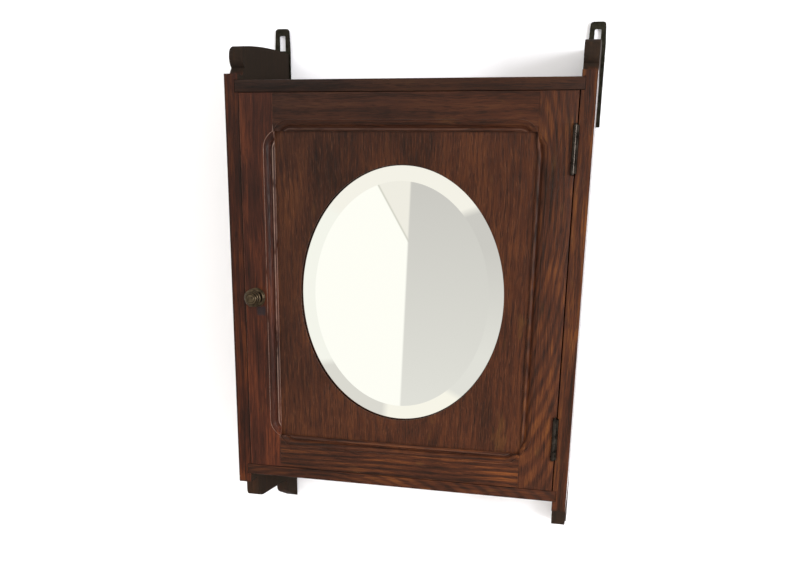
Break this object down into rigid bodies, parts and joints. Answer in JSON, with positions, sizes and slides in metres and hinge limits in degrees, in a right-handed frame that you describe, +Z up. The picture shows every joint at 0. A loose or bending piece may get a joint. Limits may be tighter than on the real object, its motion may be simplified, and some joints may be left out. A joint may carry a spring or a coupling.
{
  "type": "medicine cabinet",
  "caption": "Wall-hung oak medicine cabinet with shelves, a framed door with an oval bevelled mirror on butt hinges, a turn knob and iron hanging plates.",
  "frame": {"origin": "middle of the rear face of the back, in the wall plane", "axes": "+X to the right seen from the front, +Y back into the wall, +Z up; the door faces -Y"},
  "size_m": [0.5181, 0.2239, 0.7855],
  "materials": {
    "oak": "dark stained oak, semi-gloss varnish",
    "dark_oak": "dark stained, worn varnish",
    "bare_wood": "unfinished, aged",
    "steel": "aged steel",
    "iron": "aged black iron",
    "brass": "aged brass with a brown patina",
    "mirror": "silvered and bevelled"
  },
  "bodies": {
    "case": {"back_board_1": "bare_wood", "back_board_2": "bare_wood", "back_board_3": "bare_wood", "side_left": "oak", "side_right": "oak", "top_board": "oak", "bottom_board": "oak", "shelf_1": "dark_oak", "cleat_left_1": "dark_oak", "cleat_right_1": "dark_oak", "shelf_2": "dark_oak", "cleat_left_2": "dark_oak", "cleat_right_2": "dark_oak", "shelf_3": "dark_oak", "cleat_left_3": "dark_oak", "cleat_right_3": "dark_oak", "stop_bottom": "dark_oak", "stop_top": "dark_oak", "hanging_plate_left": "iron", "plate_screw_left_1": "steel", "plate_screw_left_2": "steel", "hanging_plate_right": "iron", "plate_screw_right_1": "steel", "plate_screw_right_2": "steel", "latch_keeper": "brass", "keeper_screw_1": "brass", "keeper_screw_2": "brass", "hinge_top_case_leaf": "steel", "hinge_top_pin": "steel", "hinge_top_case_screw_1": "steel", "hinge_top_case_screw_2": "steel", "hinge_top_case_screw_3": "steel", "hinge_bottom_case_leaf": "steel", "hinge_bottom_pin": "steel", "hinge_bottom_case_screw_1": "steel", "hinge_bottom_case_screw_2": "steel", "hinge_bottom_case_screw_3": "steel"},
    "door": {"door_panel": "oak", "stile_knob_side": "oak", "stile_hinge_side": "oak", "rail_top": "oak", "rail_bottom": "oak", "mirror": "mirror", "mirror_backing": "bare_wood", "bead_left": "bare_wood", "bead_right": "bare_wood", "bead_top": "bare_wood", "bead_bottom": "bare_wood", "knob_rose": "brass", "hinge_top_door_leaf": "steel", "hinge_top_door_screw_1": "steel", "hinge_top_door_screw_2": "steel", "hinge_top_door_screw_3": "steel", "hinge_bottom_door_leaf": "steel", "hinge_bottom_door_screw_1": "steel", "hinge_bottom_door_screw_2": "steel", "hinge_bottom_door_screw_3": "steel"},
    "knob": {"knob": "brass", "knob_spindle": "steel", "latch_tongue": "brass"}
  },
  "joints": [
    {"name": "door_hinge", "type": "hinge", "parent": "case", "child": "door", "pos_m": [0.2314, -0.202, 0], "axis": [0, 0, 1], "range_deg": [0, 170]},
    {"name": "knob_turn", "type": "hinge", "parent": "door", "child": "knob", "pos_m": [-0.2165, -0.2, -0.011], "axis": [0, 1, 0], "range_deg": [0, 90]}
  ]
}
